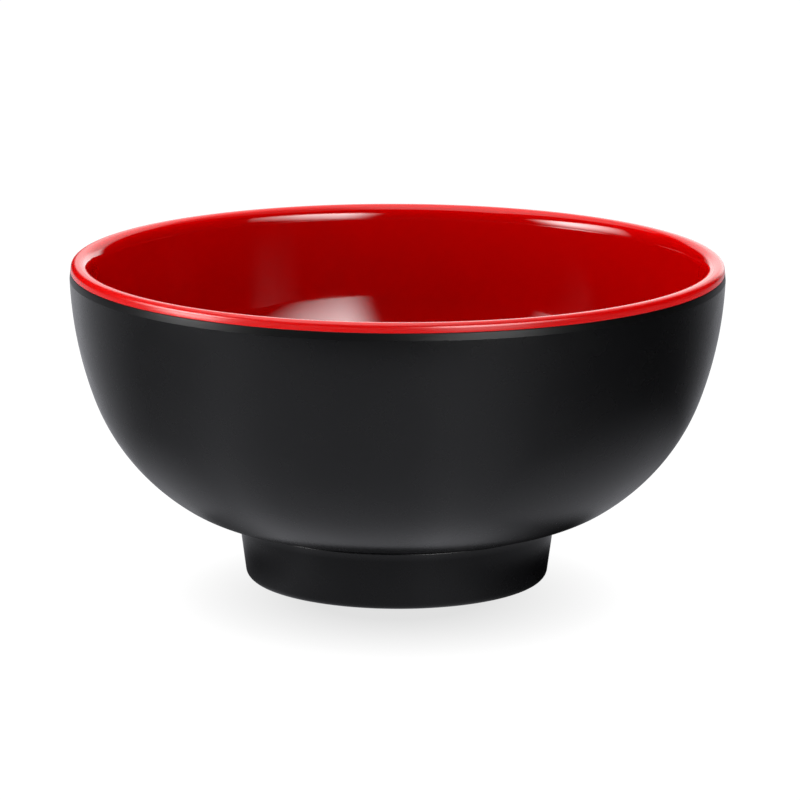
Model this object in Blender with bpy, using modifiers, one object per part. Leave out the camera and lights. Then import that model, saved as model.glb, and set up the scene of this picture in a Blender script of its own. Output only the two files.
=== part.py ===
"""Two-colour moulded melamine bowl: a black outer shell on a foot ring, and a red lining with the lip.

Metres, +Z up. The origin is on the bowl's axis, at the level that the foot stands on.
Every section point is (distance from the axis, height), and a slope is the angle in degrees
between the wall and the level plane: 90 where the wall is upright, 0 where it lies flat.
"""

import math

import bpy

# Overall size
RIM_RADIUS = 0.0760
HEIGHT = 0.0749
WALL = 0.0038

# Outside of the wall: a wide arc under the widest line, a tighter one below it, then a slightly
# dished floor. The bonded faces are the same three arcs, moved inward.
WIDEST_HEIGHT = 0.07115
WIDEST_SLOPE = 88.0
UPPER_RADIUS = 0.0893
BLEND_SLOPE = 70.1
LOWER_RADIUS = 0.0497
FLOOR_SLOPE = 4.0

# Above the widest line the outside leans inward, as a narrow band that runs on up the lip
BAND_SLOPE = 96.0

# Food side: it keeps to the outside's lower arc for longer, then runs up almost straight,
# so that it leans open all the way to the lip and the press tool's core can be drawn out of it
FOOD_BLEND_SLOPE = 80.5
FOOD_UPPER_RADIUS = 0.2900

# The two shots, with the bond line left open between them
LINER_WALL = 0.0016
BOND_GAP = 0.0003
SEAM_HEIGHT = 0.07275
SEAM_ROUND = 0.0002

# Lip: eased towards the food side, narrow and level on top, rounded to the outside
EASE_DEPTH = 0.00268
EASE_WIDTH = 0.0015
EASE_ROUND = 0.0054
LIP_INNER_ROUND = 0.0014
LIP_OUTER_ROUND = 0.0016

# Foot ring: a narrow ledge under the belly, then a tapered wall down to the rounded bottom edge
JOIN_RADIUS = 0.0362
LEDGE_FALL = 0.00005
SHOULDER_RADIUS = 0.0369
SHOULDER_ROUND = 0.0005
FOOT_RADIUS = 0.0351
FOOT_OUTER_ROUND = 0.0020
FOOT_INNER_RADIUS = 0.0308
FOOT_INNER_ROUND = 0.0009
RECESS_RADIUS = 0.0300
RECESS_FILLET = 0.0018

# Fineness of the turned surfaces
TURN_STEPS = 64
UPPER_STEPS = 5
LOWER_STEPS = 9
FLOOR_STEPS = 2
ROUND_STEPS = 4
MERGE_DISTANCE = 0.00001

# Finishes
BLACK_COLOUR = (0.0035, 0.0035, 0.0038)
BLACK_ROUGHNESS = 0.38
RED_COLOUR = (0.48, 0.001, 0.001)
RED_ROUGHNESS = 0.11


def wall_point(centre, radius, slope):
    """The point where an arc of the wall has the given slope."""
    turn = math.radians(slope)
    return centre[0] + radius * math.sin(turn), centre[1] - radius * math.cos(turn)


def wall_arc(centre, radius, slope_from, slope_to, steps):
    """Points along an arc of the wall, with both ends."""
    turn = (slope_to - slope_from) / steps
    return [wall_point(centre, radius, slope_from + turn * step) for step in range(steps + 1)]


def slope_at_height(centre, radius, height):
    """The slope of an arc of the wall at the given height."""
    return math.degrees(math.acos((centre[1] - height) / radius))


def slope_at_distance(centre, radius, distance):
    """The slope of an arc of the wall at the given distance from the axis."""
    return math.degrees(math.asin((distance - centre[0]) / radius))


# Each arc carries on smoothly from the one beside it, and the floor's centre lies on the axis
UPPER_CENTRE = wall_point((RIM_RADIUS, WIDEST_HEIGHT), -UPPER_RADIUS, WIDEST_SLOPE)
LOWER_CENTRE = wall_point(UPPER_CENTRE, UPPER_RADIUS - LOWER_RADIUS, BLEND_SLOPE)
FLOOR_RADIUS = LOWER_RADIUS + LOWER_CENTRE[0] / math.sin(math.radians(FLOOR_SLOPE))
FLOOR_CENTRE = wall_point(LOWER_CENTRE, LOWER_RADIUS - FLOOR_RADIUS, FLOOR_SLOPE)
FOOD_UPPER_CENTRE = wall_point(LOWER_CENTRE, LOWER_RADIUS - WALL - FOOD_UPPER_RADIUS, FOOD_BLEND_SLOPE)


def rounded(corners):
    """The path through (distance, height, rounding) corners, each turned into an arc of its rounding."""
    path = []
    for index, (x, z, rounding) in enumerate(corners):
        if rounding == 0:
            path.append((x, z))
            continue
        before, after = corners[index - 1], corners[index + 1]
        back_angle = math.atan2(before[1] - z, before[0] - x)
        on_angle = math.atan2(after[1] - z, after[0] - x)
        opening = (on_angle - back_angle + math.pi) % (2 * math.pi) - math.pi
        middle = back_angle + opening / 2
        reach = rounding / abs(math.sin(opening / 2))
        centre = x + reach * math.cos(middle), z + reach * math.sin(middle)
        sweep = math.copysign(math.pi - abs(opening), opening)
        for step in range(ROUND_STEPS + 1):
            angle = middle + math.pi + sweep * (0.5 - step / ROUND_STEPS)
            path.append((centre[0] + rounding * math.cos(angle), centre[1] + rounding * math.sin(angle)))
    return path


def floor_surface(inward):
    """The floor moved inward from the outside of the wall, from its centre outwards."""
    return wall_arc(FLOOR_CENTRE, FLOOR_RADIUS - inward, 0.0, FLOOR_SLOPE, FLOOR_STEPS)


def bonded_surface(inward, top):
    """The wall moved inward from its outside, from the floor's centre up to the given height."""
    upper = UPPER_RADIUS - inward
    path = floor_surface(inward)
    path += wall_arc(LOWER_CENTRE, LOWER_RADIUS - inward, FLOOR_SLOPE, BLEND_SLOPE, LOWER_STEPS)[1:]
    top_slope = slope_at_height(UPPER_CENTRE, upper, top)
    path += wall_arc(UPPER_CENTRE, upper, BLEND_SLOPE, top_slope, UPPER_STEPS)[1:]
    return path


def food_surface(top):
    """The food side, from the floor's centre up to the given height."""
    path = floor_surface(WALL)
    path += wall_arc(LOWER_CENTRE, LOWER_RADIUS - WALL, FLOOR_SLOPE, FOOD_BLEND_SLOPE, LOWER_STEPS)[1:]
    top_slope = slope_at_height(FOOD_UPPER_CENTRE, FOOD_UPPER_RADIUS, top)
    path += wall_arc(FOOD_UPPER_CENTRE, FOOD_UPPER_RADIUS, FOOD_BLEND_SLOPE, top_slope, UPPER_STEPS)[1:]
    return path


def band_point(height):
    """The point of the leaning band, or of the lip above it, at the given height."""
    return RIM_RADIUS + (height - WIDEST_HEIGHT) / math.tan(math.radians(BAND_SLOPE)), height


def belly_surface():
    """The outside of the belly, from the widest line down to the foot."""
    join_slope = slope_at_distance(LOWER_CENTRE, LOWER_RADIUS, JOIN_RADIUS)
    path = wall_arc(UPPER_CENTRE, UPPER_RADIUS, WIDEST_SLOPE, BLEND_SLOPE, UPPER_STEPS)
    path += wall_arc(LOWER_CENTRE, LOWER_RADIUS, BLEND_SLOPE, join_slope, LOWER_STEPS)[1:]
    return path


def shell_section():
    """The shell's half section: up its inside, over the seam, down the band and belly, round the foot."""
    seam = SEAM_HEIGHT - BOND_GAP / 2
    inside = bonded_surface(WALL - LINER_WALL - BOND_GAP, seam)
    belly = belly_surface()
    floor = floor_surface(0.0)
    rim = rounded(
        [
            (*inside[-2], 0),
            (*inside[-1], SEAM_ROUND),
            (*band_point(seam), SEAM_ROUND),
            (*belly[0], 0),
        ]
    )
    recess_slope = slope_at_distance(LOWER_CENTRE, LOWER_RADIUS, RECESS_RADIUS)
    foot = rounded(
        [
            (*belly[-1], 0),
            (SHOULDER_RADIUS, belly[-1][1] - LEDGE_FALL, SHOULDER_ROUND),
            (FOOT_RADIUS, 0.0, FOOT_OUTER_ROUND),
            (FOOT_INNER_RADIUS, 0.0, FOOT_INNER_ROUND),
            (*wall_point(LOWER_CENTRE, LOWER_RADIUS, recess_slope), RECESS_FILLET),
            (*floor[-1], 0),
        ]
    )
    return inside[:-2] + rim + belly[1:-1] + foot + floor[-2::-1]


def liner_section():
    """The lining's half section: up the food side, over the lip, and back down the bonded face."""
    seam = SEAM_HEIGHT + BOND_GAP / 2
    inside = food_surface(HEIGHT - EASE_DEPTH)
    bonded = bonded_surface(WALL - LINER_WALL, seam)
    lip = rounded(
        [
            (*inside[-2], 0),
            (*inside[-1], EASE_ROUND),
            (inside[-1][0] + EASE_WIDTH, HEIGHT, LIP_INNER_ROUND),
            (*band_point(HEIGHT), LIP_OUTER_ROUND),
            (*band_point(seam), SEAM_ROUND),
            (*bonded[-1], SEAM_ROUND),
            (*bonded[-2], 0),
        ]
    )
    return inside[:-2] + lip + bonded[-3::-1]


def moulded_melamine(name, colour, roughness):
    """A coloured moulded melamine, black and satin or red and polished."""
    material = bpy.data.materials.new(name)
    material.use_nodes = True
    surface = material.node_tree.nodes["Principled BSDF"]
    surface.inputs["Base Color"].default_value = (*colour, 1.0)
    surface.inputs["Roughness"].default_value = roughness
    surface.inputs["Metallic"].default_value = 0.0
    return material


def turned(name, section, material, collection, parent):
    """A solid of revolution about the Z axis from its half section."""
    mesh = bpy.data.meshes.new(name)
    points = [(x, 0.0, z) for x, z in section]
    edges = [(index, index + 1) for index in range(len(points) - 1)]
    mesh.from_pydata(points, edges, [])
    mesh.materials.append(material)
    piece = bpy.data.objects.new(name, mesh)
    collection.objects.link(piece)
    piece.parent = parent
    screw = piece.modifiers.new("Turn", "SCREW")
    screw.axis = "Z"
    screw.steps = TURN_STEPS
    screw.render_steps = TURN_STEPS
    screw.use_merge_vertices = True
    screw.merge_threshold = MERGE_DISTANCE
    screw.use_smooth_shade = True
    return piece


def main():
    for old in list(bpy.data.objects):
        bpy.data.objects.remove(old)
    collection = bpy.data.collections.new("melamine_bowl")
    bpy.context.scene.collection.children.link(collection)
    axis = bpy.data.objects.new("bowl_axis", None)
    collection.objects.link(axis)
    black = moulded_melamine("black_melamine", BLACK_COLOUR, BLACK_ROUGHNESS)
    red = moulded_melamine("red_melamine", RED_COLOUR, RED_ROUGHNESS)
    turned("outer_shell", shell_section(), black, collection, axis)
    turned("inner_liner", liner_section(), red, collection, axis)


main()
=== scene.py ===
"""Looks of a two-colour melamine bowl: satin black shell, polished red lining with the lip.

Sizes are in metres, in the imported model's own frame: +Z up, the origin on the bowl's axis, on the floor.
A section point is (distance from the axis, height). A slope is in degrees from level: 90 is upright.
A bearing is in degrees about the axis, from the camera's side and positive to the camera's right.
"""

import logging
import math
from dataclasses import dataclass, field
from enum import Enum
from typing import Any

import bpy
from mathutils import Matrix, Vector

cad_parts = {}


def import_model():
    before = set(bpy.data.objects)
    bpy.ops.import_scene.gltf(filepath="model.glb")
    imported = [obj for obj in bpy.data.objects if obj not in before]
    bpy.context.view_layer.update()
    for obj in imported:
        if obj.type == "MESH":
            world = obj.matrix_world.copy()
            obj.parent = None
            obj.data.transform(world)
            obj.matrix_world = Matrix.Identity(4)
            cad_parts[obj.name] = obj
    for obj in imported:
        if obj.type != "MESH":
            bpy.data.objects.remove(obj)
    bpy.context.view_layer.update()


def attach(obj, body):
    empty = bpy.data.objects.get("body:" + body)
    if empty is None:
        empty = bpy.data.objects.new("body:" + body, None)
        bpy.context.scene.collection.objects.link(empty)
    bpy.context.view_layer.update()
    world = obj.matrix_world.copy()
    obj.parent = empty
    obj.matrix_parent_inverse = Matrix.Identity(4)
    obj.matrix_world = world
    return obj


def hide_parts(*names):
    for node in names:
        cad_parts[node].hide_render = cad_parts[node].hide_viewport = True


IMAGE_PIXELS = 800
SENSOR_WIDTH = 36.0
WHITE = "#FFFFFF"

RIM_RADIUS = 0.0760
WIDEST_HEIGHT = 0.07115
SCRATCH_SPACING = 0.0003
SCRATCH_LENGTH = 0.0030
SCRATCH_SLANT = 40.0

# A noise texture keeps mostly between these two values
NOISE_LOW = 0.3
NOISE_HIGH = 0.7

# Modelling limits: size of the first plane, shortest run drawn, merging distance, sharpest smooth edge
START_SIZE = 0.001
SHORTEST_RUN = 1e-6
MERGE_DISTANCE = 0.000002
SMOOTH_ANGLE = 35.0

# Ray depth up to which a lamp is mirrored once, and from which it is mirrored again
MIRRORED_ONCE = 2.2
MIRRORED_AGAIN = 2.8

log = logging.getLogger("melamine_bowl")

Point = tuple[float, float]


class Slot(Enum):
    """The record's material slots."""

    BLACK = "black_melamine"
    RED = "red_melamine"


class Piece(Enum):
    """The visual model's pieces."""

    SHELL = "bowl_shell"
    LINING = "bowl_lining"


class Gives(Enum):
    """What a lamp gives the bowl."""

    SHINE = "reflections only"
    FILL = "even light only"


def linear(hex_colour: str) -> tuple[float, float, float, float]:
    """Turns an sRGB hex colour into a linear one.

    Args:
        hex_colour: Six hex digits after a hash sign.

    Returns:
        Linear red, green and blue, and an alpha of 1.
    """
    channels = [int(hex_colour[place:place + 2], 16) / 255 for place in (1, 3, 5)]
    light = [c / 12.92 if c <= 0.04045 else ((c + 0.055) / 1.055) ** 2.4 for c in channels]
    return light[0], light[1], light[2], 1.0


def add_node(
        tree: bpy.types.NodeTree, kind: str, inputs: dict[Any, Any] | None = None,
        **settings: Any) -> bpy.types.Node:
    """Adds a node to a tree, with its settings, and fills or links its inputs.

    Args:
        tree: The node tree.
        kind: The node's type name, without its ShaderNode prefix.
        inputs: A value, or an output socket to link, for each input named or numbered.
        settings: The node's own settings.

    Returns:
        The new node.
    """
    node = tree.nodes.new("ShaderNode" + kind)
    for name, value in settings.items():
        setattr(node, name, value)
    for name, value in (inputs or {}).items():
        if isinstance(value, bpy.types.NodeSocket):
            tree.links.new(value, node.inputs[name])
        else:
            node.inputs[name].default_value = value
    return node


def new_tree(name: str) -> tuple[bpy.types.Material, bpy.types.NodeTree]:
    """Makes a material with an empty node tree.

    Args:
        name: The material's name.

    Returns:
        The material and its tree.
    """
    material = bpy.data.materials.new(name)
    material.use_nodes = True
    material.node_tree.nodes.clear()
    return material, material.node_tree


def trim_scratches(tree: bpy.types.NodeTree, place: bpy.types.NodeSocket) -> bpy.types.NodeSocket:
    """Adds the slanted scratches that sanding leaves where the flash is trimmed off, under the lip.

    Args:
        tree: The node tree.
        place: The object coordinates.

    Returns:
        The scratches' height.
    """
    split = add_node(tree, "SeparateXYZ", {0: place})
    around = add_node(tree, "Math", {0: split.outputs["Y"], 1: split.outputs["X"]}, operation="ARCTAN2")
    along = add_node(tree, "Math", {0: around.outputs[0], 1: RIM_RADIUS}, operation="MULTIPLY")
    flat = add_node(tree, "CombineXYZ", {0: along.outputs[0], 1: split.outputs["Z"]})
    slanted = add_node(tree, "Mapping", {
        "Vector": flat.outputs[0], "Rotation": (0.0, 0.0, math.radians(SCRATCH_SLANT)),
        "Scale": (1 / SCRATCH_LENGTH, 1 / SCRATCH_SPACING, 1.0)})
    scratches = add_node(tree, "TexNoise", {"Vector": slanted.outputs[0], "Scale": 1.0, "Detail": 2.0})
    return scratches.outputs[0]


@dataclass(frozen=True)
class SatinBlackMelamine:
    """Black melamine moulded against a fine-blasted tool.

    It gives the eye a deep, slightly cool black with a broad soft sheen, broken up by a fine even grain.
    The band under the lip was sanded where the flash was trimmed off, so it is a little rougher, and the
    foot is duller than the belly.
    """

    colour: str = "#070708"
    pale_colour: str = "#0A0A0B"
    roughness: float = 0.27
    roughness_spread: float = 0.02
    band_roughness: float = 0.36
    ior: float = 1.5
    specular: float = 0.50
    foot_specular: float = 0.24
    foot_fade_from: float = 0.0118
    foot_fade_to: float = 0.0134
    band_height: float = WIDEST_HEIGHT
    band_edge: float = 0.00005
    # A real grain of about 0.1 mm is under half a pixel, so it is drawn at 0.35 mm
    grain_size: float = 0.00035
    mottle_size: float = 0.009

    def material(self) -> bpy.types.Material:
        """Builds the node material."""
        material, tree = new_tree("black_melamine_satin_moulded")
        place = add_node(tree, "TexCoord").outputs["Object"]
        height = add_node(tree, "SeparateXYZ", {0: place}).outputs["Z"]
        grain = add_node(tree, "TexNoise", {"Vector": place, "Scale": 1 / self.grain_size, "Detail": 2.0})
        mottle = add_node(tree, "TexNoise", {"Vector": place, "Scale": 1 / self.mottle_size, "Detail": 3.0})
        band = add_node(tree, "MapRange", {
            0: height, 1: self.band_height - self.band_edge, 2: self.band_height + self.band_edge})
        colour = add_node(tree, "Mix", {
            0: mottle.outputs[0], 6: linear(self.colour), 7: linear(self.pale_colour)}, data_type="RGBA")
        moulded = add_node(tree, "MapRange", {
            0: mottle.outputs[0], 1: NOISE_LOW, 2: NOISE_HIGH,
            3: self.roughness - self.roughness_spread, 4: self.roughness + self.roughness_spread})
        roughness = add_node(tree, "Mix", {
            0: band.outputs[0], 2: moulded.outputs[0], 3: self.band_roughness})
        relief = add_node(tree, "Mix", {
            0: band.outputs[0], 2: grain.outputs[0], 3: trim_scratches(tree, place)})
        bump = add_node(tree, "Bump", {"Strength": 0.10, "Distance": 0.0002, "Height": relief.outputs[0]})
        gloss = add_node(tree, "MapRange", {
            0: height, 1: self.foot_fade_from, 2: self.foot_fade_to,
            3: self.foot_specular, 4: self.specular})
        surface = add_node(tree, "BsdfPrincipled", {
            "Base Color": colour.outputs[2], "Roughness": roughness.outputs[0], "IOR": self.ior,
            "Specular IOR Level": gloss.outputs[0], "Normal": bump.outputs[0]})
        add_node(tree, "OutputMaterial", {"Surface": surface.outputs[0]})
        return material


@dataclass(frozen=True)
class PolishedRedMelamine:
    """Red melamine pressed against a polished tool.

    It gives the eye a saturated deep red under a hard gloss that mirrors the lamps, with the slight
    waviness of a pressed surface. The lip was sanded after trimming, so it is even and less glossy.
    Its lighter red is painted light, for the brighter light that falls on the lip against the shaded inside.
    """

    colour: str = "#BC0001"
    deep_colour: str = "#B40000"
    # Painted light: the lip's lighter red stands in for the brighter light on its top
    lip_colour: str = "#CA0101"
    roughness: float = 0.055
    roughness_below: float = 0.010
    roughness_above: float = 0.015
    lip_roughness: float = 0.20
    ior: float = 1.55
    lip_radius: float = 0.0726
    lip_edge: float = 0.0003
    # The waves and the orange peel fade out between these distances from the axis
    even_from: float = 0.0710
    even_to: float = 0.0718
    wave_size: float = 0.014
    wave_strength: float = 0.05
    # Orange peel of about 0.3 mm is close to a pixel, so it is drawn at 0.6 mm
    peel_size: float = 0.0006
    peel_strength: float = 0.008

    def material(self) -> bpy.types.Material:
        """Builds the node material."""
        material, tree = new_tree("red_melamine_polished_moulded")
        place = add_node(tree, "TexCoord").outputs["Object"]
        wave = add_node(tree, "TexNoise", {"Vector": place, "Scale": 1 / self.wave_size, "Detail": 1.0})
        peel = add_node(tree, "TexNoise", {"Vector": place, "Scale": 1 / self.peel_size, "Detail": 1.0})
        level = add_node(tree, "VectorMath", {0: place, 1: (1.0, 1.0, 0.0)}, operation="MULTIPLY")
        distance = add_node(tree, "VectorMath", {0: level.outputs[0]}, operation="LENGTH").outputs["Value"]
        lip = add_node(tree, "MapRange", {
            0: distance, 1: self.lip_radius - self.lip_edge, 2: self.lip_radius + self.lip_edge})
        lining = add_node(tree, "Mix", {
            0: wave.outputs[0], 6: linear(self.colour), 7: linear(self.deep_colour)}, data_type="RGBA")
        # Painted light: the lip gets the lighter red
        colour = add_node(tree, "Mix", {
            0: lip.outputs[0], 6: lining.outputs[2], 7: linear(self.lip_colour)}, data_type="RGBA")
        polished = add_node(tree, "MapRange", {
            0: wave.outputs[0], 1: NOISE_LOW, 2: NOISE_HIGH,
            3: self.roughness - self.roughness_below, 4: self.roughness + self.roughness_above})
        roughness = add_node(tree, "Mix", {
            0: lip.outputs[0], 2: polished.outputs[0], 3: self.lip_roughness})
        waviness = add_node(tree, "MapRange", {
            0: distance, 1: self.even_from, 2: self.even_to, 3: self.wave_strength, 4: 0.0})
        peeling = add_node(tree, "MapRange", {
            0: distance, 1: self.even_from, 2: self.even_to, 3: self.peel_strength, 4: 0.0})
        waves = add_node(tree, "Bump", {
            "Strength": waviness.outputs[0], "Distance": 0.0005, "Height": wave.outputs[0]})
        peeled = add_node(tree, "Bump", {
            "Strength": peeling.outputs[0], "Distance": 0.0002, "Height": peel.outputs[0],
            "Normal": waves.outputs[0]})
        surface = add_node(tree, "BsdfPrincipled", {
            "Base Color": colour.outputs[2], "Roughness": roughness.outputs[0], "IOR": self.ior,
            "Normal": peeled.outputs[0]})
        add_node(tree, "OutputMaterial", {"Surface": surface.outputs[0]})
        return material


@dataclass(frozen=True)
class WhiteTableBoard:
    """Matt white board under the bowl.

    The camera sees it as white paper lit by the lamps, with a soft contact shadow, partly real shade and
    partly painted shadow in its white glow. For other rays it is a glow rather than a lit board: in the
    bowl's sheen a painted grey with painted pools of light ahead on each side, dark to the left and right,
    bright behind and shaded close to the foot, and for the bowl's even light a painted bounce glow.
    """

    seen_colour: str = "#383838"
    fibre_size: float = 0.002
    # Painted contact shadow: the white glow is dimmed in an oval, a little ahead of the bowl, fading out
    # from its core to its edge
    shadow_glow: float = 0.745
    open_glow: float = 1.0
    shadow_core: float = 0.023
    shadow_edge: float = 0.060
    shadow_ahead: float = 0.020
    shadow_narrowing: float = 1.15
    # Painted bounce glow that stands in for light thrown back up, and its slightly cool grey in the sheen
    bounce: float = 2.4
    sheen_colour: str = "#F7F8FF"
    back_glow: float = 0.95
    # Bearing and the board's painted glow in the sheen there: painted pools of light and shade
    sheen: tuple[tuple[float, float], ...] = (
        (-142, 0.72), (-127, 0.46), (-110, 0.30), (-89, 0.17), (-68, 0.32), (-52, 0.54), (-37, 0.43),
        (-16, 0.39), (4, 0.42), (16, 0.52), (29, 0.42), (43, 0.23), (59, 0.10), (89, 0.03), (110, 0.05),
        (127, 0.20), (142, 0.50))
    # Beside the bowl the painted glow is at least the close glow, which fades in past the foot and out again
    close_glow: float = 0.42
    past_foot_from: float = 0.046
    past_foot_to: float = 0.056
    close_from: float = 0.07
    close_to: float = 0.15
    # Far off, the painted glow fades towards the horizon
    horizon_from: float = 0.35
    horizon_to: float = 1.2
    horizon_share: float = 0.2
    # Painted shade close to the foot: shares of the glow at its left, its right and in front of and behind
    # it
    left_share: float = 0.45
    right_share: float = 0.18
    ahead_share: float = 1.2
    side_reach: float = 0.03
    beside_depth: float = 0.008
    ahead_depth: float = 0.034
    foot_from: float = 0.046
    foot_to: float = 0.058

    def material(self) -> bpy.types.Material:
        """Builds the node material."""
        material, tree = new_tree("white_board_painted_glow")
        place = add_node(tree, "TexCoord").outputs["Object"]
        rays = add_node(tree, "LightPath")
        # Rays other than the camera's see a painted glow, not a lit board: painted reflections for the
        # sheen, painted bounce for the even light
        level = add_node(tree, "Mix", {
            0: rays.outputs["Is Diffuse Ray"], 2: self.sheen_level(tree, place), 3: self.bounce})
        painted_glow = add_node(tree, "Emission", {
            "Color": linear(self.sheen_colour), "Strength": level.outputs[0]})
        surface = add_node(tree, "MixShader", {
            0: rays.outputs["Is Camera Ray"], 1: painted_glow.outputs[0], 2: self.seen_board(tree, place)})
        add_node(tree, "OutputMaterial", {"Surface": surface.outputs[0]})
        return material

    def seen_board(self, tree: bpy.types.NodeTree, place: bpy.types.NodeSocket) -> bpy.types.NodeSocket:
        """Adds the lit white paper that the camera sees, with a partly painted contact shadow.

        Args:
            tree: The node tree.
            place: The object coordinates.

        Returns:
            The shader.
        """
        fibre = add_node(tree, "TexNoise", {"Vector": place, "Scale": 1 / self.fibre_size})
        bump = add_node(tree, "Bump", {"Strength": 0.02, "Distance": 0.0001, "Height": fibre.outputs[0]})
        lit = add_node(tree, "BsdfDiffuse", {"Color": linear(self.seen_colour), "Normal": bump.outputs[0]})
        # Painted shadow: the paper's white glow is dimmed in an oval round the bowl
        oval = add_node(tree, "Mapping", {
            "Vector": place, "Location": (0.0, self.shadow_ahead, 0.0),
            "Scale": (self.shadow_narrowing, 1.0, 1.0)})
        apart = add_node(tree, "VectorMath", {0: oval.outputs[0]}, operation="LENGTH")
        rise = add_node(tree, "MapRange", {
            0: apart.outputs["Value"], 1: self.shadow_core, 2: self.shadow_edge,
            3: self.shadow_glow, 4: self.open_glow})
        glow = add_node(tree, "Emission", {"Color": linear(WHITE), "Strength": rise.outputs[0]})
        return add_node(tree, "AddShader", {0: lit.outputs[0], 1: glow.outputs[0]}).outputs[0]

    def sheen_level(self, tree: bpy.types.NodeTree, place: bpy.types.NodeSocket) -> bpy.types.NodeSocket:
        """Adds the painted glow that the bowl's sheen sees on the board.

        Args:
            tree: The node tree.
            place: The object coordinates.

        Returns:
            The brightness.
        """
        split = add_node(tree, "SeparateXYZ", {0: place})
        away = add_node(tree, "VectorMath", {0: place}, operation="LENGTH").outputs["Value"]
        close = add_node(tree, "MapRange", {
            0: away, 1: self.close_from, 2: self.close_to, 3: self.close_glow, 4: 0.0})
        past_foot = add_node(tree, "MapRange", {
            0: away, 1: self.past_foot_from, 2: self.past_foot_to, 4: close.outputs[0]})
        around = add_node(tree, "Math", {
            0: self.glow_by_bearing(tree, split), 1: past_foot.outputs[0]}, operation="MAXIMUM")
        horizon = add_node(tree, "MapRange", {
            0: away, 1: self.horizon_from, 2: self.horizon_to, 3: 1.0, 4: self.horizon_share})
        open_board = add_node(tree, "Math", {
            0: around.outputs[0], 1: horizon.outputs[0]}, operation="MULTIPLY")
        shaded = add_node(tree, "Math", {
            0: open_board.outputs[0], 1: self.foot_share(tree, split, away)}, operation="MULTIPLY")
        return shaded.outputs[0]

    def glow_by_bearing(self, tree: bpy.types.NodeTree, split: bpy.types.Node) -> bpy.types.NodeSocket:
        """Adds the painted glow that changes round the bowl.

        Args:
            tree: The node tree.
            split: The object coordinates, one by one.

        Returns:
            The glow.
        """
        forward = add_node(tree, "Math", {0: split.outputs["Y"], 1: -1.0}, operation="MULTIPLY")
        bearing = add_node(tree, "Math", {
            0: split.outputs["X"], 1: forward.outputs[0]}, operation="ARCTAN2")
        turn = add_node(tree, "MapRange", {0: bearing.outputs[0], 1: -math.pi, 2: math.pi})
        ramp = add_node(tree, "ValToRGB", {0: turn.outputs[0]})
        stops = ramp.color_ramp.elements
        for stop in stops:
            stop.color = (self.back_glow, self.back_glow, self.back_glow, 1.0)
        for degrees, glow in self.sheen:
            stops.new((degrees + 180) / 360).color = (glow, glow, glow, 1.0)
        return ramp.outputs[0]

    def foot_share(
            self, tree: bpy.types.NodeTree, split: bpy.types.Node,
            away: bpy.types.NodeSocket) -> bpy.types.NodeSocket:
        """Adds the painted shade close to the foot: the share of the glow that is left there.

        Args:
            tree: The node tree.
            split: The object coordinates, one by one.
            away: The distance from the axis.

        Returns:
            The share.
        """
        # Painted shade: the glow is dimmed beside the foot, more on the right than on the left
        ahead = add_node(tree, "Math", {0: split.outputs["Y"]}, operation="ABSOLUTE")
        beside = add_node(tree, "MapRange", {
            0: split.outputs["X"], 1: -self.side_reach, 2: self.side_reach,
            3: self.left_share, 4: self.right_share})
        close = add_node(tree, "MapRange", {
            0: ahead.outputs[0], 1: self.beside_depth, 2: self.ahead_depth,
            3: beside.outputs[0], 4: self.ahead_share})
        share = add_node(tree, "MapRange", {
            0: away, 1: self.foot_from, 2: self.foot_to, 3: close.outputs[0], 4: 1.0})
        return share.outputs[0]


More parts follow.
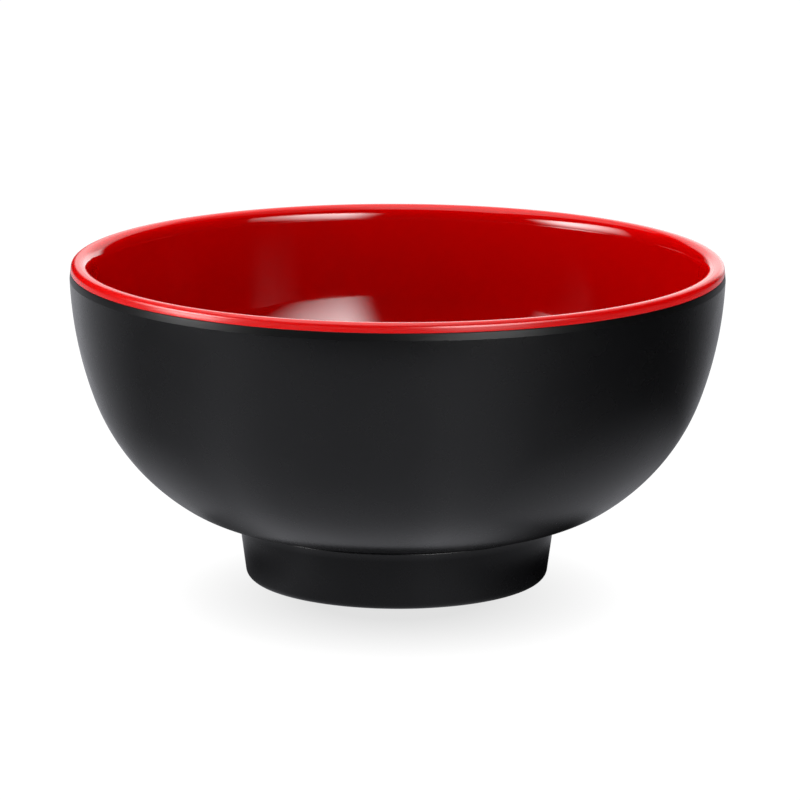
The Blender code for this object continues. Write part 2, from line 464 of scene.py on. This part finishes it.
class SectionPen:
    """Draws a half section in the XZ plane with extrude and spin, then turns it about the Z axis."""

    def __init__(self, name: str, start: Point) -> None:
        """Starts a section at a point.

        Args:
            name: The finished object's name.
            start: The first point.
        """
        bpy.ops.object.select_all(action="DESELECT")
        bpy.ops.mesh.primitive_plane_add(size=START_SIZE, location=(start[0], 0.0, start[1]))
        self.piece = bpy.context.object
        self.piece.name = name
        self.piece.data.name = name
        self.here = start
        bpy.ops.object.mode_set(mode="EDIT")
        bpy.ops.mesh.select_all(action="SELECT")
        bpy.ops.mesh.merge(type="CENTER")

    def line(self, point: Point) -> None:
        """Draws a straight run to a point.

        Args:
            point: Where the run ends.
        """
        step = (point[0] - self.here[0], 0.0, point[1] - self.here[1])
        bpy.ops.mesh.extrude_region_move(TRANSFORM_OT_translate={"value": step})
        self.here = point

    def arc(self, centre: Point, angle: float, steps: int) -> None:
        """Draws an arc about a centre.

        Args:
            centre: The arc's centre.
            angle: How far it turns, in degrees, positive from below to outside.
            steps: How many edges it gets.
        """
        bpy.ops.mesh.spin(
            steps=steps, angle=math.radians(abs(angle)), center=(centre[0], 0.0, centre[1]),
            axis=(0.0, math.copysign(1.0, angle), 0.0))
        turn = math.radians(angle)
        x, z = self.here[0] - centre[0], self.here[1] - centre[1]
        self.here = (
            centre[0] + x * math.cos(turn) - z * math.sin(turn),
            centre[1] + x * math.sin(turn) + z * math.cos(turn))

    def corner(self, corner: Point, after: Point, rounding: float, steps: int) -> None:
        """Draws a straight run towards a corner and rounds the corner off.

        Args:
            corner: The sharp corner.
            after: A point on the run that leaves the corner.
            rounding: The radius of the rounding.
            steps: How many edges the rounding gets.
        """
        inward = (Vector(corner) - Vector(self.here)).normalized()
        onward = (Vector(after) - Vector(corner)).normalized()
        turn = math.atan2(inward.x * onward.y - inward.y * onward.x, inward.dot(onward))
        first = Vector(corner) - inward * rounding * math.tan(abs(turn) / 2)
        if (first - Vector(self.here)).length > SHORTEST_RUN:
            self.line((first.x, first.y))
        side = math.copysign(rounding, turn)
        centre = (self.here[0] - inward.y * side, self.here[1] + inward.x * side)
        self.arc(centre, math.degrees(turn), steps)

    def turned(self, steps: int) -> bpy.types.Object:
        """Turns the section about the Z axis into a closed solid.

        Args:
            steps: How many faces go round.

        Returns:
            The finished object, at the origin.
        """
        bpy.ops.mesh.select_all(action="SELECT")
        bpy.ops.mesh.spin(steps=steps, angle=2 * math.pi, center=(0.0, 0.0, 0.0), axis=(0.0, 0.0, 1.0))
        bpy.ops.mesh.select_all(action="SELECT")
        bpy.ops.mesh.remove_doubles(threshold=MERGE_DISTANCE)
        bpy.ops.mesh.normals_make_consistent(inside=False)
        bpy.ops.object.mode_set(mode="OBJECT")
        bpy.ops.object.transform_apply(location=True, rotation=True, scale=True)
        bpy.ops.object.shade_smooth_by_angle(angle=math.radians(SMOOTH_ANGLE))
        return self.piece


@dataclass(frozen=True)
class WallShape:
    """The arcs that the bowl's wall is drawn with. Both shots follow them."""

    rim_radius: float = RIM_RADIUS
    height: float = 0.0749
    wall: float = 0.0037
    widest_height: float = WIDEST_HEIGHT
    widest_slope: float = 88.0
    upper_radius: float = 0.0893
    blend_slope: float = 70.1
    lower_radius: float = 0.0497
    floor_slope: float = 4.0
    food_blend_slope: float = 83.2
    food_upper_radius: float = 0.2900
    band_slope: float = 96.0
    liner_wall: float = 0.0016
    # The two shots touch on the real bowl; the hair between them keeps their faces from fighting
    bond_gap: float = 0.00004
    seam_height: float = 0.0728
    seam_round: float = 0.00010
    # How far under the seam the bonded faces leave their arc
    seam_run: float = 0.0005
    seam_steps: int = 6
    bond_corner_steps: int = 4
    bond_floor_steps: int = 6
    bond_lower_steps: int = 24
    bond_upper_steps: int = 8
    turn_steps: int = 256

    @staticmethod
    def on_arc(centre: Point, radius: float, slope: float) -> Point:
        """Gives the point of an arc that has a slope.

        Args:
            centre: The arc's centre.
            radius: The arc's radius.
            slope: The slope there.

        Returns:
            The point.
        """
        turn = math.radians(slope)
        return centre[0] + radius * math.sin(turn), centre[1] - radius * math.cos(turn)

    @property
    def upper_centre(self) -> Point:
        """Centre of the outside's arc under the widest line."""
        return self.on_arc((self.rim_radius, self.widest_height), -self.upper_radius, self.widest_slope)

    @property
    def lower_centre(self) -> Point:
        """Centre of the outside's tighter arc."""
        return self.on_arc(self.upper_centre, self.upper_radius - self.lower_radius, self.blend_slope)

    @property
    def floor_radius(self) -> float:
        """Radius of the dished floor, whose centre lies on the axis."""
        return self.lower_radius + self.lower_centre[0] / math.sin(math.radians(self.floor_slope))

    @property
    def floor_centre(self) -> Point:
        """Centre of the dished floor."""
        height = self.on_arc(self.lower_centre, self.lower_radius - self.floor_radius, self.floor_slope)[1]
        return 0.0, height

    @property
    def food_upper_centre(self) -> Point:
        """Centre of the food side's almost straight upper arc."""
        reach = self.lower_radius - self.wall - self.food_upper_radius
        return self.on_arc(self.lower_centre, reach, self.food_blend_slope)

    def floor_middle(self, inward: float) -> Point:
        """Gives the floor's point on the axis, moved inward from the outside."""
        return 0.0, self.floor_centre[1] - self.floor_radius + inward

    def band_point(self, height: float) -> Point:
        """Gives the point of the leaning band, or of the lip above it, at a height."""
        lean = math.tan(math.radians(self.band_slope))
        return self.rim_radius + (height - self.widest_height) / lean, height

    @staticmethod
    def slope_at(centre: Point, radius: float, height: float) -> float:
        """Gives an arc's slope at a height."""
        return math.degrees(math.acos((centre[1] - height) / radius))

    @staticmethod
    def slope_out_at(centre: Point, radius: float, distance: float) -> float:
        """Gives an arc's slope at a distance from the axis."""
        return math.degrees(math.asin((distance - centre[0]) / radius))


def dress(piece: bpy.types.Object, material: bpy.types.Material, node: str) -> None:
    """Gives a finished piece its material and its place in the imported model.

    Args:
        piece: The finished piece.
        material: Its finish.
        node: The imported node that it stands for.
    """
    piece.data.materials.clear()
    piece.data.materials.append(material)
    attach(piece, "root")
    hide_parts(node)
    log.info("%s: %d faces, %s", piece.name, len(piece.data.polygons), material.name)


@dataclass(frozen=True)
class OuterShell:
    """The black first shot: belly, base and foot ring in one moulding."""

    shape: WallShape = field(default_factory=WallShape)
    finish: SatinBlackMelamine = field(default_factory=SatinBlackMelamine)
    # Close runs on both sides of the widest line keep its crease crisp under smooth shading
    crease_run: float = 0.0006
    crease_edge: float = 0.00006
    belly_upper_steps: int = 18
    belly_lower_steps: int = 28
    # Towards the foot the belly turns in under a tighter arc
    under_slope: float = 33.0
    under_radius: float = 0.0307
    under_steps: int = 20
    join_radius: float = 0.0362
    ledge_fall: float = 0.0006
    shoulder_radius: float = 0.0369
    shoulder_round: float = 0.0005
    shoulder_steps: int = 10
    foot_radius: float = 0.0351
    foot_outer_round: float = 0.0020
    foot_outer_steps: int = 12
    foot_inner_radius: float = 0.0308
    foot_inner_round: float = 0.0009
    foot_inner_steps: int = 8
    recess_radius: float = 0.0300
    recess_fillet: float = 0.0018
    recess_steps: int = 8
    underside_steps: int = 8

    def build(self) -> bpy.types.Object:
        """Draws the half section and turns it.

        Returns:
            The finished shell.
        """
        shape = self.shape
        inward = shape.wall - shape.liner_wall - shape.bond_gap
        top = shape.seam_height - shape.bond_gap / 2
        pen = SectionPen(Piece.SHELL.value, shape.floor_middle(inward))
        self.draw_bonded_side(pen, inward, top)
        self.draw_band(pen, top)
        join = self.draw_belly(pen)
        self.draw_foot(pen, join)
        return pen.turned(shape.turn_steps)

    def draw_bonded_side(self, pen: SectionPen, inward: float, top: float) -> None:
        """Draws the face that the lining is bonded to, from the axis up to just under the seam.

        Args:
            pen: The section's pen.
            inward: How far the face lies inside the belly.
            top: The seam's height on this shot.
        """
        shape = self.shape
        radius = shape.upper_radius - inward
        end = shape.slope_at(shape.upper_centre, radius, top - shape.seam_run)
        pen.arc(shape.floor_centre, shape.floor_slope, shape.bond_floor_steps)
        pen.arc(shape.lower_centre, shape.blend_slope - shape.floor_slope, shape.bond_lower_steps)
        pen.arc(shape.upper_centre, end - shape.blend_slope, shape.bond_upper_steps)
        edge = (pen.here[0], top)
        pen.corner(edge, shape.band_point(top), shape.seam_round, shape.bond_corner_steps)

    def draw_band(self, pen: SectionPen, top: float) -> None:
        """Draws the seam's level face and the leaning band down to the widest line.

        Args:
            pen: The section's pen.
            top: The seam's height on this shot.
        """
        shape = self.shape
        widest = (shape.rim_radius, shape.widest_height)
        pen.corner(shape.band_point(top), widest, shape.seam_round, shape.seam_steps)
        pen.line(shape.band_point(shape.widest_height + self.crease_run))
        pen.line(shape.band_point(shape.widest_height + self.crease_edge))
        pen.line(widest)

    def draw_belly(self, pen: SectionPen) -> Point:
        """Draws the belly from the widest line down to the foot.

        Args:
            pen: The section's pen.

        Returns:
            The point where the belly meets the foot.
        """
        shape = self.shape
        edge = math.degrees(self.crease_edge / shape.upper_radius)
        run = math.degrees(self.crease_run / shape.upper_radius)
        pen.arc(shape.upper_centre, -edge, 1)
        pen.arc(shape.upper_centre, edge - run, 1)
        pen.arc(shape.upper_centre, shape.blend_slope - shape.widest_slope + run, self.belly_upper_steps)
        pen.arc(shape.lower_centre, self.under_slope - shape.blend_slope, self.belly_lower_steps)
        centre = shape.on_arc(shape.lower_centre, shape.lower_radius - self.under_radius, self.under_slope)
        join_slope = shape.slope_out_at(centre, self.under_radius, self.join_radius)
        pen.arc(centre, join_slope - self.under_slope, self.under_steps)
        return pen.here

    def draw_foot(self, pen: SectionPen, join: Point) -> None:
        """Draws the ledge, the tapered foot, the recess under the base and the underside.

        Args:
            pen: The section's pen.
            join: The point where the belly meets the foot.
        """
        shape = self.shape
        shoulder = (self.shoulder_radius, join[1] - self.ledge_fall)
        bottom = (self.foot_radius, 0.0)
        inner = (self.foot_inner_radius, 0.0)
        recess_slope = shape.slope_out_at(shape.lower_centre, shape.lower_radius, self.recess_radius)
        recess = shape.on_arc(shape.lower_centre, shape.lower_radius, recess_slope)
        floor_edge = shape.on_arc(shape.floor_centre, shape.floor_radius, shape.floor_slope)
        pen.corner(shoulder, bottom, self.shoulder_round, self.shoulder_steps)
        pen.corner(bottom, inner, self.foot_outer_round, self.foot_outer_steps)
        pen.corner(inner, recess, self.foot_inner_round, self.foot_inner_steps)
        pen.corner(recess, floor_edge, self.recess_fillet, self.recess_steps)
        pen.line(floor_edge)
        pen.arc(shape.floor_centre, -shape.floor_slope, self.underside_steps)

    def dress(self, piece: bpy.types.Object) -> None:
        """Gives the shell its finish and its place."""
        dress(piece, self.finish.material(), "outer_shell")


@dataclass(frozen=True)
class InnerLiner:
    """The red second shot: the lining of the whole inside, turned over the shell's edge as the lip."""

    shape: WallShape = field(default_factory=WallShape)
    finish: PolishedRedMelamine = field(default_factory=PolishedRedMelamine)
    food_floor_steps: int = 12
    food_lower_steps: int = 56
    food_upper_steps: int = 12
    ease_depth: float = 0.00232
    ease_width: float = 0.00125
    ease_round: float = 0.0054
    # How far under the ease the food side leaves its arc
    ease_run: float = 0.0014
    ease_steps: int = 10
    lip_inner_round: float = 0.0026
    lip_inner_steps: int = 12
    lip_outer_round: float = 0.00125
    lip_outer_steps: int = 16

    def build(self) -> bpy.types.Object:
        """Draws the half section and turns it.

        Returns:
            The finished lining.
        """
        shape = self.shape
        pen = SectionPen(Piece.LINING.value, shape.floor_middle(shape.wall))
        self.draw_food_side(pen)
        self.draw_lip(pen)
        self.draw_bonded_side(pen)
        return pen.turned(shape.turn_steps)

    def draw_food_side(self, pen: SectionPen) -> None:
        """Draws the food side from the axis up to the eased lip.

        Args:
            pen: The section's pen.
        """
        shape = self.shape
        top = shape.height - self.ease_depth - self.ease_run
        end = shape.slope_at(shape.food_upper_centre, shape.food_upper_radius, top)
        pen.arc(shape.floor_centre, shape.floor_slope, self.food_floor_steps)
        pen.arc(shape.lower_centre, shape.food_blend_slope - shape.floor_slope, self.food_lower_steps)
        pen.arc(shape.food_upper_centre, end - shape.food_blend_slope, self.food_upper_steps)

    def draw_lip(self, pen: SectionPen) -> None:
        """Draws the lip: eased to the food side, narrow on top, rounded to the outside, down to the seam.

        Args:
            pen: The section's pen.
        """
        shape = self.shape
        seam = shape.seam_height + shape.bond_gap / 2
        ease_height = shape.height - self.ease_depth
        slope = shape.slope_at(shape.food_upper_centre, shape.food_upper_radius, ease_height)
        eased = shape.on_arc(shape.food_upper_centre, shape.food_upper_radius, slope)
        inner = (eased[0] + self.ease_width, shape.height)
        outer = shape.band_point(shape.height)
        edge = shape.band_point(seam)
        pen.corner(eased, inner, self.ease_round, self.ease_steps)
        pen.corner(inner, outer, self.lip_inner_round, self.lip_inner_steps)
        pen.corner(outer, edge, self.lip_outer_round, self.lip_outer_steps)
        pen.corner(edge, (shape.rim_radius - shape.wall, seam), shape.seam_round, shape.seam_steps)

    def draw_bonded_side(self, pen: SectionPen) -> None:
        """Draws the face that lies on the shell, from the seam down to the axis.

        Args:
            pen: The section's pen.
        """
        shape = self.shape
        inward = shape.wall - shape.liner_wall
        radius = shape.upper_radius - inward
        start = shape.slope_at(shape.upper_centre, radius, shape.seam_height - shape.seam_run)
        below = shape.on_arc(shape.upper_centre, radius, start)
        pen.corner((below[0], pen.here[1]), below, shape.seam_round, shape.bond_corner_steps)
        pen.line(below)
        pen.arc(shape.upper_centre, shape.blend_slope - start, shape.bond_upper_steps)
        pen.arc(shape.lower_centre, shape.floor_slope - shape.blend_slope, shape.bond_lower_steps)
        pen.arc(shape.floor_centre, -shape.floor_slope, shape.bond_floor_steps)

    def dress(self, piece: bpy.types.Object) -> None:
        """Gives the lining its finish and its place."""
        dress(piece, self.finish.material(), "inner_liner")


@dataclass(frozen=True)
class Fade:
    """A lamp's rise of brightness across its face, from a share of it at one line to all of it at another.

    A place on the face is (across, up), from (0, 0) at its lower right, seen from the bowl, to (1, 1).
    The lines are where across and up, each times its weight here, add up to dark and to full.
    """

    across: float
    up: float
    dark: float
    full: float
    share: float = 0.0
    smooth: bool = True

    @classmethod
    def sideways(cls, dark: float, full: float, share: float = 0.0, smooth: bool = True) -> "Fade":
        """Gives a fade along the lamp's width."""
        return cls(1.0, 0.0, dark, full, share, smooth)

    @classmethod
    def upwards(cls, dark: float, full: float, share: float = 0.0, smooth: bool = True) -> "Fade":
        """Gives a fade along the lamp's height."""
        return cls(0.0, 1.0, dark, full, share, smooth)


@dataclass(frozen=True)
class Softbox:
    """A rectangular studio lamp that the camera doesn't see, with a diffuser that fades towards its edges.

    Its width and height are angles in degrees, as seen from its aim.
    """

    name: str
    gives: Gives
    bearing: float
    elevation: float
    width: float
    height: float
    radiance: float
    fades: tuple[Fade, ...] = ()
    only: Piece | None = None
    # Share of its brightness that it keeps where it is mirrored again
    echo: float = 1.0
    distance: float = 0.9
    aim: tuple[float, float, float] = (0.0, 0.0, 0.07)

    def build(self) -> None:
        """Adds the lamp, turns it to its aim, fades its face and flags it off what it doesn't light."""
        bearing, elevation = math.radians(self.bearing), math.radians(self.elevation)
        away = Vector((
            math.cos(elevation) * math.sin(bearing), -math.cos(elevation) * math.cos(bearing),
            math.sin(elevation)))
        bpy.ops.object.light_add(type="AREA", location=Vector(self.aim) + away * self.distance)
        lamp = bpy.context.object
        lamp.name = self.name
        lamp.data.shape = "RECTANGLE"
        lamp.data.size = 2 * self.distance * math.tan(math.radians(self.width / 2))
        lamp.data.size_y = 2 * self.distance * math.tan(math.radians(self.height / 2))
        lamp.data.energy = self.radiance * math.pi * lamp.data.size * lamp.data.size_y
        lamp.rotation_euler = (-away).to_track_quat("-Z", "Y").to_euler()
        lamp.visible_camera = False
        lamp.visible_diffuse = self.gives is Gives.FILL
        lamp.visible_glossy = self.gives is Gives.SHINE
        self.fade_face(lamp.data)
        if self.only is not None:
            reach = bpy.data.collections.new(self.name + "_reach")
            reach.objects.link(bpy.data.objects[self.only.value])
            lamp.light_linking.receiver_collection = reach
        log.info("lamp %s: %.1f W, %s", self.name, lamp.data.energy, self.gives.value)

    def fade_face(self, lamp: bpy.types.Light) -> None:
        """Makes the lamp dimmer towards its edges, and in later mirror images.

        Args:
            lamp: The lamp's data.
        """
        lamp.use_nodes = True
        tree = lamp.node_tree
        tree.nodes.clear()
        face = add_node(tree, "NewGeometry").outputs["Parametric"]
        strength = 1.0
        for fade in self.fades:
            along = add_node(tree, "VectorMath", {
                0: face, 1: (fade.across, fade.up, 0.0)}, operation="DOT_PRODUCT")
            ramp = add_node(tree, "MapRange", {
                0: along.outputs["Value"], 1: fade.dark, 2: fade.full, 3: fade.share, 4: 1.0},
                interpolation_type="SMOOTHSTEP" if fade.smooth else "LINEAR")
            product = add_node(tree, "Math", {0: strength, 1: ramp.outputs[0]}, operation="MULTIPLY")
            strength = product.outputs[0]
        depth = add_node(tree, "LightPath").outputs["Ray Depth"]
        kept = add_node(tree, "MapRange", {
            0: depth, 1: MIRRORED_ONCE, 2: MIRRORED_AGAIN, 3: 1.0, 4: self.echo})
        shown = add_node(tree, "Math", {0: strength, 1: kept.outputs[0]}, operation="MULTIPLY")
        glow = add_node(tree, "Emission", {"Strength": shown.outputs[0]})
        add_node(tree, "OutputLight", {"Surface": glow.outputs[0]})


RIGHT_STRIP_FADES = (Fade.sideways(0.0, 0.35), Fade.sideways(1.0, 0.6), Fade.upwards(1.0, 0.4))
LEFT_STRIP_FADES = (Fade.sideways(0.05, 0.5), Fade.sideways(1.0, 0.6), Fade.upwards(1.0, 0.4))

# Lamps that the lining mirrors
LINING_LAMPS = (
    Softbox(
        "front_right_softbox", Gives.SHINE, bearing=34.0, elevation=23.5, width=54.0, height=33.0,
        radiance=16.5, only=Piece.LINING, echo=0.2, fades=(
            Fade(-0.9, 1.0, -0.573, 0.6, smooth=False), Fade.sideways(0.04, 0.38),
            Fade.sideways(1.1, 0.6, smooth=False), Fade.upwards(1.0, 0.85))),
    Softbox(
        "left_softbox", Gives.SHINE, bearing=-82.0, elevation=20.0, width=54.0, height=28.0,
        radiance=16.0, only=Piece.LINING, echo=0.4, fades=(
            Fade.upwards(0.0, 0.60, smooth=False), Fade.sideways(0.10, 0.55, smooth=False),
            Fade.sideways(0.96, 0.62), Fade.upwards(1.0, 0.85))),
    Softbox(
        "lip_right_strip", Gives.SHINE, bearing=30.0, elevation=2.0, width=44.0, height=12.0,
        radiance=2.0, only=Piece.LINING, echo=0.0, fades=RIGHT_STRIP_FADES),
    Softbox(
        "lip_left_strip", Gives.SHINE, bearing=-75.0, elevation=2.0, width=40.0, height=12.0,
        radiance=11.0, only=Piece.LINING, echo=0.0, fades=LEFT_STRIP_FADES),
    Softbox(
        "back_glow", Gives.SHINE, bearing=172.0, elevation=6.0, width=48.0, height=20.0,
        radiance=0.85, only=Piece.LINING, echo=0.0, fades=(
            Fade.sideways(0.0, 0.15), Fade.sideways(1.0, 0.6, smooth=False), Fade.upwards(1.0, 0.75))),
    Softbox(
        "back_wall_glow", Gives.SHINE, bearing=178.0, elevation=21.0, width=60.0, height=50.0,
        radiance=0.9, only=Piece.LINING, echo=0.0, fades=(
            Fade.sideways(0.0, 0.15), Fade(-1.0, 0.6, -0.60, -0.45),
            Fade(0.8, 1.0, 1.36, 1.17, smooth=False))),
    Softbox(
        "overhead_glow", Gives.SHINE, bearing=180.0, elevation=74.0, width=60.0, height=68.0,
        radiance=1.4, only=Piece.LINING, echo=0.0, fades=(
            Fade.upwards(-0.3, 0.7, smooth=False), Fade.sideways(0.26, 0.50, share=0.15))),
)

# Lamps in the shell's sheen: on the band under the lip, and on the ledge over the foot
SHELL_LAMPS = (
    Softbox(
        "low_right_strip", Gives.SHINE, bearing=30.0, elevation=5.0, width=44.0, height=12.0,
        radiance=8.0, only=Piece.SHELL, fades=RIGHT_STRIP_FADES),
    Softbox(
        "low_left_strip", Gives.SHINE, bearing=-75.0, elevation=5.0, width=40.0, height=12.0,
        radiance=9.0, only=Piece.SHELL, fades=LEFT_STRIP_FADES),
    Softbox(
        "ledge_glow", Gives.SHINE, bearing=-60.0, elevation=60.0, width=90.0, height=60.0,
        radiance=0.6, only=Piece.SHELL),
)

# Even light on everything
FILL_LAMPS = (
    Softbox(
        "left_fill", Gives.FILL, bearing=-60.0, elevation=5.0, width=80.0, height=10.0, radiance=4.9),
    Softbox(
        "front_fill", Gives.FILL, bearing=12.0, elevation=5.0, width=60.0, height=10.0, radiance=3.8),
    Softbox(
        "right_fill", Gives.FILL, bearing=75.0, elevation=5.0, width=60.0, height=10.0, radiance=2.4),
    Softbox(
        "overhead_fill", Gives.FILL, bearing=-90.0, elevation=85.0, width=50.0, height=50.0, radiance=4.1),
    Softbox(
        "back_fill", Gives.FILL, bearing=180.0, elevation=62.0, width=70.0, height=36.0, radiance=3.6),
    Softbox(
        "back_left_fill", Gives.FILL, bearing=-105.0, elevation=42.0, width=70.0, height=50.0, radiance=1.1),
)


@dataclass(frozen=True)
class Studio:
    """The table board, the lamps and the surroundings."""

    board: WhiteTableBoard = field(default_factory=WhiteTableBoard)
    board_front: float = -0.285
    board_back: float = 2.2
    board_half_width: float = 1.6
    surroundings: str = "#0D0D0D"
    lamps: tuple[Softbox, ...] = LINING_LAMPS + SHELL_LAMPS + FILL_LAMPS

    def build(self) -> None:
        """Builds the board, the lamps and the world."""
        bpy.ops.object.select_all(action="DESELECT")
        bpy.ops.mesh.primitive_plane_add(size=1.0, location=(0.0, 0.0, 0.0))
        board = bpy.context.object
        board.name = "table_board"
        board.scale = (2 * self.board_half_width, self.board_back - self.board_front, 1.0)
        board.location = (0.0, (self.board_back + self.board_front) / 2, 0.0)
        bpy.ops.object.transform_apply(location=True, rotation=True, scale=True)
        board.data.materials.append(self.board.material())
        for lamp in self.lamps:
            lamp.build()
        self.build_world()

    def build_world(self) -> None:
        """Makes the surroundings dim for the bowl and white for the camera."""
        world = bpy.data.worlds.new("studio")
        bpy.context.scene.world = world
        world.use_nodes = True
        tree = world.node_tree
        tree.nodes.clear()
        rays = add_node(tree, "LightPath")
        dim = add_node(tree, "Background", {"Color": linear(self.surroundings), "Strength": 1.0})
        white = add_node(tree, "Background", {"Color": linear(WHITE), "Strength": 1.0})
        seen = add_node(tree, "MixShader", {
            0: rays.outputs["Is Camera Ray"], 1: dim.outputs[0], 2: white.outputs[0]})
        add_node(tree, "OutputWorld", {"Surface": seen.outputs[0]})


@dataclass(frozen=True)
class PhotoCamera:
    """The camera at the photograph's view. Its pitch and roll are in radians."""

    place: tuple[float, float, float] = (0.00065, -1.19964, 0.30071)
    pitch_down: float = 0.2127
    roll: float = 0.0036
    focal_pixels: float = 5262.5
    clip_end: float = 50.0

    def build(self) -> None:
        """Adds the camera and makes it the scene's own."""
        bpy.ops.object.camera_add()
        camera = bpy.context.object
        camera.name = "photo_camera"
        turn = Matrix.Rotation(math.pi / 2 - self.pitch_down, 4, "X") @ Matrix.Rotation(self.roll, 4, "Z")
        camera.matrix_world = Matrix.Translation(self.place) @ turn
        camera.data.sensor_width = SENSOR_WIDTH
        camera.data.lens = self.focal_pixels * SENSOR_WIDTH / IMAGE_PIXELS
        camera.data.clip_end = self.clip_end
        bpy.context.scene.camera = camera


def main() -> None:
    """Builds the bowl, the studio and the camera, and reports each piece."""
    logging.basicConfig(level=logging.INFO, format="%(name)s: %(message)s")
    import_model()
    bpy.context.scene.view_settings.view_transform = "Standard"
    PhotoCamera().build()
    for maker in (OuterShell(), InnerLiner()):
        maker.dress(maker.build())
    Studio().build()


if __name__ == "__main__":
    main()
